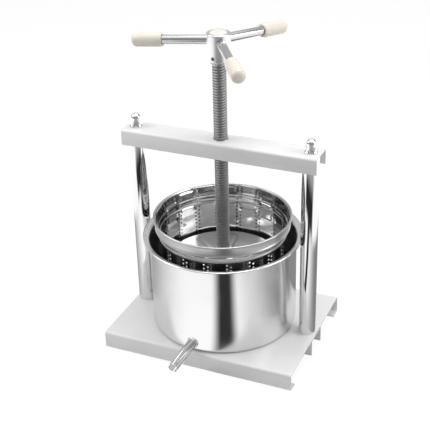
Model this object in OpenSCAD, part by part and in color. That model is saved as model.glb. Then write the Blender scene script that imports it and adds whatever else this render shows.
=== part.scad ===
// Fruit wine press: a folded base and beam on two tubular columns, a threaded spindle with a
// three-armed handle, a ribbed press plate, and a drained pot that holds a perforated basket.
// The origin is on the spindle's axis, on the top face of the base plate. Front is -Y.

/* [Pot and spout] */
// Outer radius of the pot's wall, which sets the size of the whole press
pot_r = 110; // [100:0.5:130]
// Width of the pot's lip
pot_lip_w = 10; // [9:0.5:14]
// Height of the pot
pot_h = 145; // [120:1:150]
// Thickness of the pot's sheet
pot_t = 1; // [0.8:0.1:1.5]
// Radius of the pot's bottom edge
pot_edge_r = 6; // [4:0.5:8]
// Radius that flares the pot's wall into its lip
pot_flare_r = 7; // [4:0.5:7.5]
// Compass angle of the spout
spout_turn = 267.5; // [260:0.5:280]
// Angle by which the spout falls
spout_fall = 3; // [0:0.5:5]
// Height of the spout's root above the base plate
spout_up = 14.5; // [13:0.5:30]
// Outer diameter of the spout
spout_d = 15; // [10:0.5:16]
// Wall of the spout
spout_wall = 0.8; // [0.6:0.1:1.5]
// Length of the spout outside the pot
spout_l = 63; // [40:1:90]
// Outer diameter of the ring that seats the spout on the pot
spout_ring_d = 19; // [18.5:0.5:22]

/* [Basket] */
// Gap between the pot's wall and the basket's wall, where the juice runs down
juice_gap = 13.5; // [11:0.5:20]
// How far the basket's rim flares out from its wall
basket_flare_w = 8; // [5:0.5:9]
// Height of the basket's rim above the base plate
basket_top = 175.5; // [160:0.5:185]
// Height of the flared part of the basket
basket_flare_h = 22; // [12:0.5:26]
// Thickness of the basket's sheet
basket_t = 0.8; // [0.6:0.1:1.2]
// Radius of the basket's bottom edge
basket_edge_r = 6; // [4:0.5:8]
// Height of the drawn floor piece above the basket's floor
floor_dish_h = 11; // [9:0.5:16]
// Height of the feet pressed in the basket's floor
foot_h = 6; // [4:0.5:8]
// Number of feet pressed in the basket's floor
foot_count = 3; // [3:1:4]
// Number of double columns of holes
hole_pairs = 18; // [12:1:20]
// Distance between the two columns of a pair
pair_gap = 5; // [4.5:0.1:7]
// Compass angle of the first pair
hole_turn = -2; // [-10:0.5:10]
// Distance between the holes of a column
hole_pitch = 6.25; // [5:0.25:8]
// Diameter of the holes
hole_d = 3; // [1.5:0.1:3.2]
// Distance of the top holes below the foot of the flare
hole_drop = 14.5; // [10:0.5:20]

/* [Base and beam] */
// Depth of the deck in front of the pot
front_margin = 5; // [0:1:40]
// How far the pot's back stands out over the deck's rear edge
rear_overhang = 3; // [-30:1:5]
// Height of the base plate's flanges
base_h = 28; // [22:1:40]
// Distance from the columns' axes to the ends of the base and the beam
column_inset = 15; // [13:0.5:30]
// Width of the lips folded in under the base plate
lip_w = 18; // [8:1:30]
// Thickness of the folded sheet
sheet_t = 2; // [1.5:0.1:3]
// Outer radius of the folds
fold_r = 4; // [3.2:0.1:6]
// Width of the stiffening channel under the base plate
rail_w = 44; // [36:1:60]
// Width of the beam
beam_w = 42; // [40:1:60]
// Height of the beam's flanges
beam_h = 24; // [23:1:40]

/* [Columns] */
// Clearance between the pot's lip and each column
rim_gap = 2.5; // [1:0.5:10]
// Length of the column tubes
column_len = 294; // [285:1:400]
// Outer diameter of the column tubes
column_d = 25; // [20:0.5:26]
// Wall of the column tubes
column_wall = 1.5; // [1:0.1:3]
// Diameter of the tie rods inside the columns
tie_d = 10; // [6:0.5:12]
// Flange diameter of the domed nuts
dome_flange_d = 19.5; // [17:0.5:24]
// Diameter of the nuts' domes
dome_d = 14; // [13.5:0.5:17]
// Height of the domed nuts
dome_h = 20.5; // [18:0.5:28]
// Width across the flats of the lower nuts
nut_af = 17; // [16:0.5:22]
// Thickness of the lower nuts
nut_h = 8; // [5:0.5:10]
// Diameter of the lower washers
washer_d = 24; // [20:0.5:30]
// Thickness of the lower washers
washer_t = 2; // [1:0.5:3]

/* [Spindle and its nut] */
// Outer diameter of the spindle's thread
screw_d = 20; // [16:0.5:22]
// Rise of the spindle in one turn
pitch = 4; // [2:0.5:6]
// Length of the spindle's thread
screw_l = 299.2; // [280:0.1:340]
// Diameter of the journal that fits in the hub
top_journal_d = 14; // [12:0.5:15]
// Length of the journal that fits in the hub
top_journal_l = 18.5; // [14:0.5:20]
// Diameter of the journal that fits in the press plate's boss
foot_journal_d = 12; // [9:0.5:14]
// Diameter of the spindle nut's collar, where it shows on the beam
nut_collar_d = 23.5; // [22.5:0.5:28]
// Diameter of the spindle nut's flange under the beam
nut_flange_d = 36; // [32:0.5:38]
// Thickness of the spindle nut's flange
nut_flange_t = 5; // [3:0.5:8]
// Diameter of the spindle nut's body
nut_body_d = 30; // [26:0.5:34]
// Height of the spindle nut below the beam's web
nut_body_h = 20; // [10:0.5:21]
// Height of the collar above the beam
collar_up = 1; // [0.5:0.5:3]

/* [Handle] */
// Diameter of the hub
hub_d = 34; // [32:0.5:40]
// Height of the hub
hub_h = 41; // [38:0.5:50]
// Height above the hub's foot at which the arms' axes meet
arm_up = 31; // [28:0.5:32]
// Angle by which the arms droop
arm_droop = 4.6; // [0:0.1:6]
// Compass angle of the left arm
arm_turn = 185; // [150:1:210]
// Diameter of the handle rods
rod_d = 13; // [10:0.5:14]
// Diameter of the rods' threaded ends
spigot_d = 8; // [6:0.5:9]
// Distance from the axis to the mouth of the grips
grip_start = 81.5; // [60:0.5:100]
// Length of the grips
grip_l = 45.5; // [40:0.5:70]
// Diameter of the grips
grip_d = 20; // [17:0.5:26]
// Radius that rounds the grips' outer ends
grip_end_r = 7; // [3:0.5:8]
// Depth of the rods in the grips
rod_in_grip = 34; // [25:0.5:36]
// Diameter of the plug in the hub's top
cap_d = 25; // [20:0.5:27]
// Thickness of the plug in the hub's top
cap_t = 3; // [2:0.5:4]
// Diameter of the grub screw
grub_d = 6; // [4:0.5:7]
// Height of the grub screw above the hub's foot
grub_up = 8; // [6:0.5:9]

/* [Press plate] */
// Gap between the press plate and the basket's wall
plate_gap = 6.7; // [2:0.1:12]
// Height of the press plate's top face, as shown
plate_z = 98; // [70:1:110]
// Thickness of the press plate's sheet
plate_t = 2; // [1.5:0.1:3]
// Depth of the turned-down rim of the press plate
plate_rim_h = 12; // [11:0.5:18]
// Number of ribs pressed in the plate
rib_count = 8; // [4:1:10]
// Height of the ribs
rib_h = 3; // [2:0.1:4]
// Radius of a rib's cross-section
rib_r = 6; // [5:0.5:7]
// Distance from the axis to the inner end of the ribs
rib_start = 27; // [25:1:40]
// Distance from the outer end of the ribs to the plate's edge
rib_margin = 14; // [8:1:30]
// Diameter of the boss on the press plate
boss_d = 32; // [28:0.5:40]
// Height of the boss
boss_h = 14; // [10:0.5:18]
// Diameter of the washer that holds the plate on the spindle
keeper_d = 28; // [22:0.5:34]
// Thickness of that washer
keeper_t = 3; // [2:0.5:4]
// Diameter of the screw in the spindle's foot
keeper_screw_d = 6; // [4:0.5:7]
// Height of that screw's head
keeper_head_h = 4; // [3:0.5:5]

/* [Hidden] */
$fn = 96;

// Radial clearance of a shaft or a threaded end in its hole
fit = 0.05;
// Radial clearance of a rod in a drilled sheet
drill_gap = 0.25;
// Gap between pieces that turn against each other, face to face
swivel_gap = 0.3;
// How far a cutting tool runs past the piece that it cuts
over = 1;
// How much deeper a blind bore is than the piece that goes in it
bore_relief = 0.5;
// Depth of the spindle's trapezoidal thread, which sets the chamfer where it ends
thread_depth = pitch / 2 + 0.25;

pot_rim_r = pot_r + pot_lip_w;
basket_r = pot_r - pot_t - juice_gap;
basket_rim_r = basket_r + basket_flare_w;
plate_r = basket_r - basket_t - plate_gap;

column_gap = 2 * (pot_rim_r + rim_gap) + column_d;
column_x = [-column_gap / 2, column_gap / 2];
base_w = column_gap + 2 * column_inset;
beam_l = base_w;
base_front = pot_r + front_margin;
base_rear = pot_r - rear_overhang;
base_d = base_front + base_rear;
column_back = (base_front - base_rear) / 2;
beam_z = column_len + sheet_t;
rail_h = base_h - sheet_t;
under_rail_z = -2 * sheet_t;
nut_z = under_rail_z - washer_t - nut_h;
tie_over = 3;
tie_up = dome_h - 8;
dome_flange_t = 2;
dome_skirt_h = 4.5;
dome_flats_h = 4;

plate_edge_r = 4;
plate_under = plate_z - plate_t;
boss_top = plate_z + boss_h;
rib_end = plate_r - rib_margin;
screw_foot = boss_top + swivel_gap;
screw_top = screw_foot + screw_l;
hub_z = screw_top;
arm_z = hub_z + arm_up;
arm_angles = [arm_turn, arm_turn + 120, arm_turn + 240];
rod_sink = 0.3;
spot_s = sqrt(pow(hub_d / 2, 2) - pow(rod_d / 2, 2)) - rod_sink;
spigot_s = spigot_d / 2 + 1.5;
hub_chamfer = 2.5;
hub_round = 2;
cap_dome = 0.8;
grip_mouth_r = 1.5;
grub_turn = 264;
grub_hex = 3;
grub_sink = 0.5;

keeper_z = plate_under - swivel_gap - keeper_t;
keeper_head_d = 2 * keeper_screw_d;
keeper_thread_l = 12;

bead_r = 1.5;
pot_flare_z = pot_h - pot_t - pot_flare_r;
spout_in = 1.5;
spout_ring_l = 2.5;
spout_root_d = spout_d - 0.6;
spout_root_l = spout_ring_l + 1.5;

basket_z = pot_t + foot_h;
shell_z = basket_z + floor_dish_h;
rim_z = basket_top - basket_flare_h;
hole_margin = 5;
hole_rows = floor((rim_z - hole_drop - shell_z - hole_margin) / hole_pitch);
pair_split = pair_gap / basket_r * 180 / PI;
foot_r = 12;
foot_flat = 0.5;
foot_turn = 30;
foot_at = basket_r - 30;
drain_rings = [12, 28, 44, basket_r - 13.5];
drain_d = 4;
drain_step = 18;
rim_bead_r = 1.7;
rim_straight = 2;
step_bead_r = 1;
rib_turn = 36;

// Shapes shared by several pieces

// Points of an arc from angle a0 to angle a1 round the centre c
function arc(c, r, a0, a1, n = 10) =
  [for (i = [0 : n]) let (a = a0 + (a1 - a0) * i / n) c + r * [cos(a), sin(a)]];

// A list of points the other way round
function turned(p) = [for (i = [len(p) - 1 : -1 : 0]) p[i]];

// A rectangle centred on Y with its two top corners rounded, standing on the first axis
module round_top(w, h, r) {
  translate([-w / 2, 0]) square([w, h - r]);
  translate([r - w / 2, 0]) square([w - 2 * r, h]);
  for (s = [-1, 1])
    translate([s * (w / 2 - r), h - r]) circle(r);
}

// A rectangle with four rounded corners, standing on the first axis
module round_box(w, h, r) {
  translate([-w / 2, r]) square([w, h - 2 * r]);
  translate([r - w / 2, 0]) square([w - 2 * r, h]);
  for (s = [-1, 1], z = [r, h - r])
    translate([s * (w / 2 - r), z]) circle(r);
}

// The section of a sheet folded to a channel that is open below
module channel_section(w, h) {
  difference() {
    round_top(w, h, fold_r);
    translate([0, -over])
      round_top(w - 2 * sheet_t, h - sheet_t + over, fold_r - sheet_t);
  }
}

// Runs a section along X, centred, with its second axis up
module along_x(l) {
  translate([-l / 2, 0, 0])
    rotate([90, 0, 90])
      linear_extrude(l) children();
}

// A cylinder from height z0 to height z1
module post(d, z0, z1) {
  translate([0, 0, z0]) cylinder(h = z1 - z0, d = d);
}

// Puts its children on the axis of an arm, with +Z pointing outwards
module on_arm(angle) {
  translate([0, 0, arm_z])
    rotate([0, 0, angle])
      rotate([0, 90 + arm_droop, 0])
        children();
}

// Frame

module base_plate() {
  color("whitesmoke")
  difference() {
    translate([0, -column_back, -base_h])
      along_x(base_w)
        difference() {
          round_box(base_d, base_h, fold_r);
          translate([0, sheet_t])
            round_box(base_d - 2 * sheet_t, base_h - 2 * sheet_t, fold_r - sheet_t);
          translate([lip_w - base_d / 2, -over])
            square([base_d - 2 * lip_w, base_h / 2]);
        }
    for (x = column_x)
      translate([x, 0, 0]) post(tie_d + 2 * drill_gap, -sheet_t - over, over);
  }
}

module base_channel() {
  color("gainsboro")
  difference() {
    translate([0, 0, -base_h])
      along_x(base_w) channel_section(rail_w, rail_h);
    for (x = column_x)
      translate([x, 0, 0]) post(tie_d + 2 * drill_gap, under_rail_z - over, -sheet_t + over);
  }
}

module column(x) {
  color("silver")
  translate([x, 0, 0])
    difference() {
      post(column_d, 0, column_len);
      post(column_d - 2 * column_wall, -over, column_len + over);
    }
}

module column_left() { column(column_x[0]); }
module column_right() { column(column_x[1]); }

module tie_rod(x) {
  color("gray")
  translate([x, 0, 0]) post(tie_d, nut_z - tie_over, beam_z + tie_up);
}

module tie_rod_left() { tie_rod(column_x[0]); }
module tie_rod_right() { tie_rod(column_x[1]); }

module acorn_nut() {
  dome_r = dome_d / 2;
  skirt_z = dome_flange_t + dome_skirt_h;
  difference() {
    union() {
      rotate_extrude()
        polygon(concat(
          [[0, 0], [dome_flange_d / 2, 0], [dome_flange_d / 2, dome_flange_t]],
          [[dome_r + 0.6, skirt_z], [0, skirt_z]]
        ));
      post(dome_d, skirt_z - over, dome_h - dome_r);
      translate([0, 0, dome_h - dome_r]) sphere(dome_r);
      intersection() {
        translate([0, 0, dome_flange_t]) cylinder(h = dome_skirt_h + dome_flats_h, r = dome_r + 0.8, $fn = 6);
        post(dome_d + 1.2, 0, dome_h);
      }
    }
    post(tie_d + 2 * fit, -over, tie_up + bore_relief);
  }
}

module acorn_nuts() {
  color("silver")
  for (x = column_x)
    translate([x, 0, beam_z]) acorn_nut();
}

module base_washers() {
  color("silver")
  for (x = column_x)
    translate([x, 0, under_rail_z - washer_t])
      difference() {
        cylinder(h = washer_t, d = washer_d);
        post(tie_d + 2 * drill_gap, -over, washer_t + over);
      }
}

module base_nuts() {
  color("silver")
  for (x = column_x)
    translate([x, 0, nut_z])
      difference() {
        cylinder(h = nut_h, d = nut_af / cos(30), $fn = 6);
        post(tie_d + 2 * fit, -over, nut_h + over);
      }
}

module top_beam() {
  color("whitesmoke")
  difference() {
    translate([0, 0, beam_z - beam_h])
      along_x(beam_l) channel_section(beam_w, beam_h);
    for (x = column_x)
      translate([x, 0, 0]) post(tie_d + 2 * drill_gap, column_len - over, beam_z + over);
    post(nut_collar_d + 2 * fit, column_len - over, beam_z + over);
  }
}

// The threaded bush: its flange bears on the beam from below, where the pressing load pushes
module spindle_nut() {
  color("dimgray")
  difference() {
    rotate_extrude()
      polygon([
        [0, column_len - nut_body_h],
        [nut_body_d / 2 - 1, column_len - nut_body_h],
        [nut_body_d / 2, column_len - nut_body_h + 1],
        [nut_body_d / 2, column_len - nut_flange_t],
        [nut_flange_d / 2, column_len - nut_flange_t],
        [nut_flange_d / 2, column_len],
        [nut_collar_d / 2, column_len],
        [nut_collar_d / 2, beam_z + collar_up - 0.4],
        [nut_collar_d / 2 - 0.4, beam_z + collar_up],
        [0, beam_z + collar_up]
      ]);
    post(screw_d + 2 * fit, column_len - nut_body_h - over, beam_z + collar_up + over);
  }
}

// Spindle, hub and arms

module spindle() {
  foot_z = plate_under - swivel_gap;
  color("gray")
  difference() {
    rotate_extrude()
      polygon([
        [0, foot_z],
        [foot_journal_d / 2, foot_z],
        [foot_journal_d / 2, screw_foot],
        [screw_d / 2 - thread_depth, screw_foot],
        [screw_d / 2, screw_foot + thread_depth],
        [screw_d / 2, screw_top],
        [top_journal_d / 2, screw_top],
        [top_journal_d / 2, screw_top + top_journal_l],
        [0, screw_top + top_journal_l]
      ]);
    post(keeper_screw_d + 2 * fit, foot_z - over, foot_z + keeper_thread_l + bore_relief);
  }
}

module handle_hub() {
  r = hub_d / 2;
  color("silver")
  difference() {
    rotate_extrude()
      polygon(concat(
        [[0, hub_z], [r - hub_chamfer, hub_z], [r, hub_z + hub_chamfer]],
        arc([r - hub_round, hub_z + hub_h - hub_round], hub_round, 0, 90, 5),
        [[0, hub_z + hub_h]]
      ));
    post(top_journal_d + 2 * fit, hub_z - over, hub_z + top_journal_l + bore_relief);
    post(cap_d + 2 * fit, hub_z + hub_h - cap_t, hub_z + hub_h + over);
    for (a = arm_angles)
      on_arm(a) {
        post(spigot_d + 2 * fit, spigot_s - bore_relief, r + over);
        post(rod_d + 2 * drill_gap, spot_s, r + 2 * over);
      }
    translate([0, 0, hub_z + grub_up])
      rotate([0, 0, grub_turn])
        rotate([0, 90, 0])
          post(grub_d + 2 * fit, top_journal_d / 2 - over, r + over);
  }
}

// The plug is a disc with a low crown
module hub_cap() {
  crown_r = (pow(cap_d / 2, 2) + pow(cap_dome, 2)) / (2 * cap_dome);
  top = hub_z + hub_h;
  sweep = asin(cap_d / 2 / crown_r);
  color("linen")
  rotate_extrude()
    polygon(concat(
      [[0, top - cap_t], [cap_d / 2, top - cap_t]],
      arc([0, top + cap_dome - crown_r], crown_r, 90 - sweep, 90, 4)
    ));
}

module hub_set_screw() {
  color("gray")
  translate([0, 0, hub_z + grub_up])
    rotate([0, 0, grub_turn])
      rotate([0, 90, 0])
        difference() {
          post(grub_d, top_journal_d / 2 + fit, hub_d / 2 - grub_sink);
          translate([0, 0, hub_d / 2 - grub_sink - grub_hex])
            cylinder(h = grub_hex + grub_sink, d = grub_hex / cos(30), $fn = 6);
        }
}

module handle_rod(angle) {
  color("silver")
  on_arm(angle) {
    post(spigot_d, spigot_s, spot_s + over);
    post(rod_d, spot_s, grip_start + rod_in_grip);
  }
}

module handle_rod_left() { handle_rod(arm_angles[0]); }
module handle_rod_front() { handle_rod(arm_angles[1]); }
module handle_rod_right() { handle_rod(arm_angles[2]); }

// The grip is a turned form: a round outer end, a straight side and an eased mouth
module grip(angle) {
  r = grip_d / 2;
  color("linen")
  on_arm(angle)
    translate([0, 0, grip_start])
      difference() {
        rotate_extrude()
          polygon(concat(
            [[0, 0], [r - grip_mouth_r, 0]],
            arc([r - grip_mouth_r, grip_mouth_r], grip_mouth_r, -60, 0, 3),
            arc([r - grip_end_r, grip_l - grip_end_r], grip_end_r, 0, 80, 8),
            [[0, grip_l]]
          ));
        post(rod_d + 2 * fit, -over, rod_in_grip + bore_relief);
      }
}

module grip_left() { grip(arm_angles[0]); }
module grip_front() { grip(arm_angles[1]); }
module grip_right() { grip(arm_angles[2]); }

module swivel_washer() {
  color("silver")
  difference() {
    post(keeper_d, keeper_z, keeper_z + keeper_t);
    post(keeper_screw_d + 2 * fit, keeper_z - over, keeper_z + keeper_t + over);
  }
}

module swivel_screw() {
  color("gray")
  difference() {
    union() {
      post(keeper_head_d, keeper_z - keeper_head_h, keeper_z);
      post(keeper_screw_d, keeper_z - over, keeper_z + keeper_t + keeper_thread_l);
    }
    translate([0, 0, keeper_z - keeper_head_h - over])
      cylinder(h = keeper_head_h / 2 + over, d = keeper_screw_d, $fn = 6);
  }
}

// Press foot

// One rib as a lying rod with round ends, from rib_start to rib_end
module rib_form(r) {
  translate([rib_start + rib_r, 0, 0]) sphere(r);
  translate([rib_end - rib_r, 0, 0]) sphere(r);
  translate([rib_start + rib_r, 0, 0])
    rotate([0, 90, 0]) cylinder(h = rib_end - rib_start - 2 * rib_r, r = r);
}

module ribs(r) {
  for (k = [0 : rib_count - 1])
    rotate([0, 0, rib_turn + k * 360 / rib_count])
      translate([0, 0, plate_z + rib_h - rib_r])
        rib_form(r);
}

// The ribs are pressed up from below, so they are hollow underneath
module press_plate() {
  er = plate_edge_r;
  low = plate_z - plate_rim_h;
  color("silver")
  difference() {
    union() {
      rotate_extrude()
        polygon(concat(
          [[0, plate_under], [plate_r - er, plate_under]],
          turned(arc([plate_r - er, plate_z - er], er - plate_t, 0, 90, 6)),
          [[plate_r - plate_t, low], [plate_r, low]],
          arc([plate_r - er, plate_z - er], er, 0, 90, 6),
          [[0, plate_z]]
        ));
      intersection() {
        ribs(rib_r);
        post(2 * plate_r - 2 * er, plate_under, plate_z + rib_h + over);
      }
    }
    ribs(rib_r - plate_t);
    post(foot_journal_d + 2 * fit, plate_under - over, plate_z + over);
  }
}

module plate_boss() {
  chamfer = 2;
  color("silver")
  difference() {
    rotate_extrude()
      polygon([
        [0, plate_z],
        [boss_d / 2, plate_z],
        [boss_d / 2, boss_top - chamfer],
        [boss_d / 2 - chamfer, boss_top],
        [0, boss_top]
      ]);
    post(foot_journal_d + 2 * fit, plate_z - over, boss_top + over);
  }
}

// Pot and spout

// Puts its children on the spout's axis, with +Z pointing out of the pot
module on_spout() {
  rotate([0, 0, spout_turn])
    translate([pot_r, 0, spout_up])
      rotate([0, 90 + spout_fall, 0])
        children();
}

module outer_pot() {
  er = pot_edge_r;
  flare_c = [pot_r + pot_flare_r, pot_flare_z];
  lip_x = pot_rim_r - bead_r;
  color("silver")
  difference() {
    rotate_extrude() {
      polygon(concat(
        [[0, 0]],
        arc([pot_r - er, er], er, -90, 0, 6),
        arc(flare_c, pot_flare_r, 180, 90, 8),
        [[lip_x, pot_h - pot_t], [lip_x, pot_h]],
        arc(flare_c, pot_flare_r + pot_t, 90, 180, 8),
        arc([pot_r - er, er], er - pot_t, 0, -90, 6),
        [[0, pot_t]]
      ));
      translate([lip_x, pot_h - bead_r]) circle(bead_r);
    }
    on_spout() post(spout_root_d + 2 * fit, -pot_r / 4, spout_ring_l);
  }
}

// The tube's root is a little thinner, where it goes through the ring and the wall
module pot_spout() {
  color("silver")
  on_spout()
    difference() {
      union() {
        post(spout_root_d, -pot_t - spout_in, spout_l);
        post(spout_d, spout_root_l, spout_l);
      }
      post(spout_d - 2 * spout_wall, -pot_t - spout_in - over, spout_l + over);
    }
}

// The ring's back is hollowed to the pot's round wall
module spout_collar() {
  color("silver")
  difference() {
    on_spout() post(spout_ring_d, -pot_t, spout_ring_l);
    cylinder(h = pot_h, r = pot_r, $fn = 360);
    on_spout() post(spout_root_d + 2 * fit, -pot_t - over, spout_ring_l + over);
  }
}

// Basket

// Corner angles of the wall: a flat for each column of holes and three flats between the pairs
function shell_corners() =
  let (step = 360 / hole_pairs, rest = (step - 2 * pair_split) / 3)
  [for (k = [0 : hole_pairs - 1], a = [-pair_split, 0, pair_split, pair_split + rest, pair_split + 2 * rest])
    hole_turn + k * step + a];

function shell_outline(r) = [for (a = shell_corners()) r * [cos(a), sin(a)]];

// The perforated wall: rolled sheet with pairs of staggered hole columns
module basket_shell() {
  color("silver")
  difference() {
    translate([0, 0, shell_z])
      linear_extrude(rim_z - shell_z)
        difference() {
          polygon(shell_outline(basket_r));
          polygon(shell_outline(basket_r - basket_t));
        }
    for (k = [0 : hole_pairs - 1], side = [0, 1], row = [0 : hole_rows - 1])
      rotate([0, 0, hole_turn + k * 360 / hole_pairs + (side - 0.5) * pair_split])
        translate([basket_r - 4, 0, rim_z - hole_drop - (row + (1 - side) / 2) * hole_pitch])
          rotate([0, 90, 0])
            cylinder(h = 6, d = hole_d, $fn = 16);
  }
}

// The collar starts with a bead on the wall and flares out to a rolled edge
module basket_rim() {
  edge_x = basket_rim_r - rim_bead_r;
  out = edge_x - basket_r;
  up = basket_flare_h - rim_straight - rim_bead_r;
  flare_r = (out * out + up * up) / (2 * out);
  sweep = asin(up / flare_r);
  flare_c = [basket_r + flare_r, rim_z + rim_straight];
  color("silver")
  rotate_extrude() {
    polygon(concat(
      [[basket_r - basket_t, rim_z], [basket_r, rim_z]],
      arc(flare_c, flare_r, 180, 180 - sweep, 8),
      arc(flare_c, flare_r + basket_t, 180 - sweep, 180, 8)
    ));
    translate([edge_x, basket_top - rim_bead_r]) circle(rim_bead_r);
    intersection() {
      translate([basket_r, rim_z + step_bead_r]) circle(step_bead_r);
      translate([basket_r - basket_t / 2, rim_z]) square(3 * step_bead_r);
    }
  }
}

// The balls that shape the feet
module feet(r) {
  for (k = [0 : foot_count - 1])
    rotate([0, 0, foot_turn + k * 360 / foot_count])
      translate([foot_at, 0, basket_z - foot_h + foot_r - foot_flat])
        sphere(r);
}

// The round edge between the floor and the wall
module basket_edge() {
  er = basket_edge_r;
  color("silver")
  rotate_extrude()
    polygon(concat(
      arc([basket_r - er, basket_z + er], er, -90, 0, 6),
      [[basket_r, shell_z], [basket_r - basket_t, shell_z]],
      arc([basket_r - er, basket_z + er], er - basket_t, 0, -90, 6)
    ));
}

// The drawn floor has drain holes and feet pressed out of it, with a small flat below each
module basket_floor() {
  color("silver")
  difference() {
    union() {
      post(2 * basket_r - 2 * basket_edge_r, basket_z, basket_z + basket_t);
      intersection() {
        feet(foot_r);
        post(2 * basket_r - 4 * basket_edge_r, basket_z - foot_h, basket_z + basket_t);
      }
    }
    feet(foot_r - foot_flat - basket_t);
    for (ring = drain_rings)
      let (n = floor(2 * PI * ring / drain_step))
        for (k = [0 : n - 1])
          rotate([0, 0, k * 360 / n])
            translate([ring, 0, 0]) post(drain_d, basket_z - over, basket_z + basket_t + over);
  }
}

base_plate();
base_channel();
column_left();
column_right();
tie_rod_left();
tie_rod_right();
acorn_nuts();
base_washers();
base_nuts();
top_beam();
spindle_nut();
spindle();
handle_hub();
hub_cap();
hub_set_screw();
handle_rod_left();
handle_rod_front();
handle_rod_right();
grip_left();
grip_front();
grip_right();
swivel_washer();
swivel_screw();
press_plate();
plate_boss();
outer_pot();
pot_spout();
spout_collar();
basket_shell();
basket_rim();
basket_edge();
basket_floor();
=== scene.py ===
# %% [markdown]
# # A screw press for fruit
# A white folded base and beam stand on two chromed columns. A threaded spindle with three arms
# drives a ribbed plate into a perforated basket, and the juice runs off through a pot's spout.
# The engineering model gives every size and place. This lesson gives each piece its real surface.

# %% Load the engineering model
import math

import bmesh
import bpy
from mathutils import Matrix, Vector


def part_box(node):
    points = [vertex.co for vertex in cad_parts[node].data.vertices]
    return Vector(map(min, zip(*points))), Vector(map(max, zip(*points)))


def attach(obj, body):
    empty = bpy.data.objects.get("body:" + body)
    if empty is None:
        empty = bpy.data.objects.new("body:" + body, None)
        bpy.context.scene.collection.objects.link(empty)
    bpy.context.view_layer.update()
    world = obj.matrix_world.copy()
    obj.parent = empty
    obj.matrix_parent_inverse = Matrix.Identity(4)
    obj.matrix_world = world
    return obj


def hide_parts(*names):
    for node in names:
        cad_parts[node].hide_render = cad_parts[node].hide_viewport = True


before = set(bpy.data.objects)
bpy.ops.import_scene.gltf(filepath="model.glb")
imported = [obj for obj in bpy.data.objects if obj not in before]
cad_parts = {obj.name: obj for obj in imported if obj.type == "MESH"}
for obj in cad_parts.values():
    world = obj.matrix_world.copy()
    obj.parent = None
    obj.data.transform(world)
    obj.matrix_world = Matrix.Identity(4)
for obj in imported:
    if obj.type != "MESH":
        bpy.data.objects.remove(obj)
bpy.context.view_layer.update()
MM = 0.001
TAU = 2 * math.pi

# %% [markdown]
# ## The camera
# The photograph looks down on the press from the front right. A camera could be aimed by a
# constraint, but a fitted view has a roll too. So it is placed by the spot that it stands on and
# three turns: round the upright axis, up from level, and a slight roll.

# %% Camera
SENSOR = 36.0
LENS = 83.93
CLIP_END = 20
CAMERA_SPOT = (522.4, -1200.4, 873.3)
CAMERA_TURN = 24.008
CAMERA_RISE = 28.144
CAMERA_ROLL = -1.565

camera = bpy.data.objects.new("camera", bpy.data.cameras.new("camera"))
bpy.context.scene.collection.objects.link(camera)
bpy.context.scene.camera = camera
camera.data.sensor_width = SENSOR
camera.data.lens = LENS
camera.data.clip_end = CLIP_END
camera.matrix_world = (
    Matrix.Translation(Vector(CAMERA_SPOT) * MM)
    @ Matrix.Rotation(math.radians(CAMERA_TURN), 4, "Z")
    @ Matrix.Rotation(math.radians(90 - CAMERA_RISE), 4, "X")
    @ Matrix.Rotation(math.radians(CAMERA_ROLL), 4, "Z")
)
print("camera:", [round(c, 3) for c in camera.location])

# %% [markdown]
# ## Writing materials as sums
# A material is a net of nodes. Writing it as arithmetic is easier to read, so a small class wraps
# an output, and Python's own operators add the Math nodes. One method makes every other node.

# %% An output that can be added and multiplied
class Wire:
    """An output of a node. Sums on it add Math nodes."""

    def __init__(self, graph, socket):
        self.graph = graph
        self.socket = socket

    def math(self, operation, *values):
        inputs = dict(enumerate(values))
        return self.graph.node("Math", {"operation": operation}, inputs)

    def __add__(self, other):
        return self.math("ADD", self, other)

    def __sub__(self, other):
        return self.math("SUBTRACT", self, other)

    def __rsub__(self, other):
        return self.math("SUBTRACT", other, self)

    def __mul__(self, other):
        return self.math("MULTIPLY", self, other)

    def __truediv__(self, other):
        return self.math("DIVIDE", self, other)

    def __floor__(self):
        return self.math("FLOOR", self)

    def __abs__(self):
        return self.math("ABSOLUTE", self)

    def sine(self):
        return self.math("SINE", self)

    def root(self):
        return self.math("SQRT", self)

    __radd__ = __add__
    __rmul__ = __mul__


# %% A net of nodes
def colour(value):
    """A socket's colour from a grey, a triple or a wire."""
    if isinstance(value, Wire):
        return value
    if isinstance(value, (int, float)):
        return (value, value, value, 1)
    return (*value, 1)


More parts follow.
